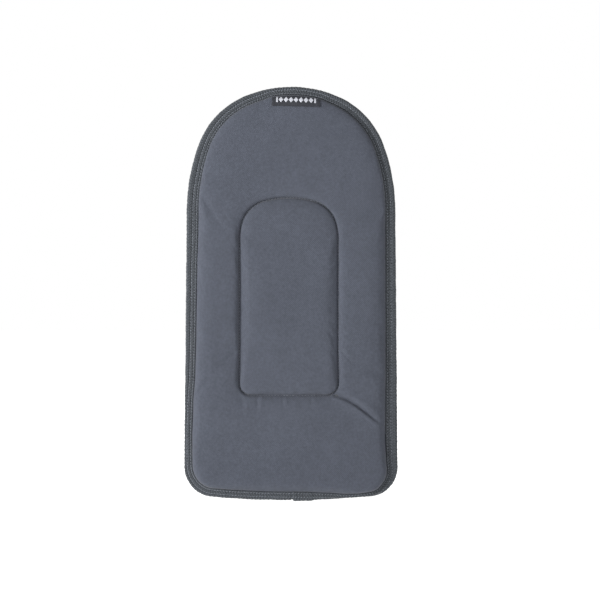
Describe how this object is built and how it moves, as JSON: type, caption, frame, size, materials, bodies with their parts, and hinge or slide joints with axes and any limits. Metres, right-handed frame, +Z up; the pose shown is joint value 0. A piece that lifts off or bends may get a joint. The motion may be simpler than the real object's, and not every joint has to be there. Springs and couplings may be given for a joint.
{
  "type": "padded back protector",
  "caption": "Soft padded back protector panel: arched textile cushion with taped edge, sewn middle channel and woven label, held on by hook tape on its back.",
  "frame": {"origin": "middle of the upper hook strip's face, the plane of its hooks' tips, where the panel is held on the bag", "axes": "+Z up from the hem to the arch's crown, -Y out of the padded front, +Y out of the back towards the bag, X across the width"},
  "size_m": [0.213, 0.0124, 0.413],
  "materials": {
    "cover_fabric": "matte",
    "foam": "matte",
    "stiffener_plastic": "satin",
    "lining_fabric": "matte",
    "label_fabric": "satin",
    "binding_tape": "matte",
    "hook_tape": "matte",
    "sewing_thread": "satin"
  },
  "bodies": {
    "root": {"front_cover": "cover_fabric", "foam_core": "foam", "stiffener_sheet": "stiffener_plastic", "back_lining": "lining_fabric", "label": "label_fabric", "edge_binding": "binding_tape", "channel_needle_thread": "sewing_thread", "channel_bobbin_thread": "sewing_thread", "binding_inner_needle_thread": "sewing_thread", "binding_inner_bobbin_thread": "sewing_thread", "binding_outer_needle_thread": "sewing_thread", "binding_outer_bobbin_thread": "sewing_thread", "upper_hook_strip": "hook_tape", "lower_hook_strip": "hook_tape", "upper_strip_needle_thread": "sewing_thread", "upper_strip_bobbin_thread": "sewing_thread", "lower_strip_needle_thread": "sewing_thread", "lower_strip_bobbin_thread": "sewing_thread"}
  },
  "joints": []
}
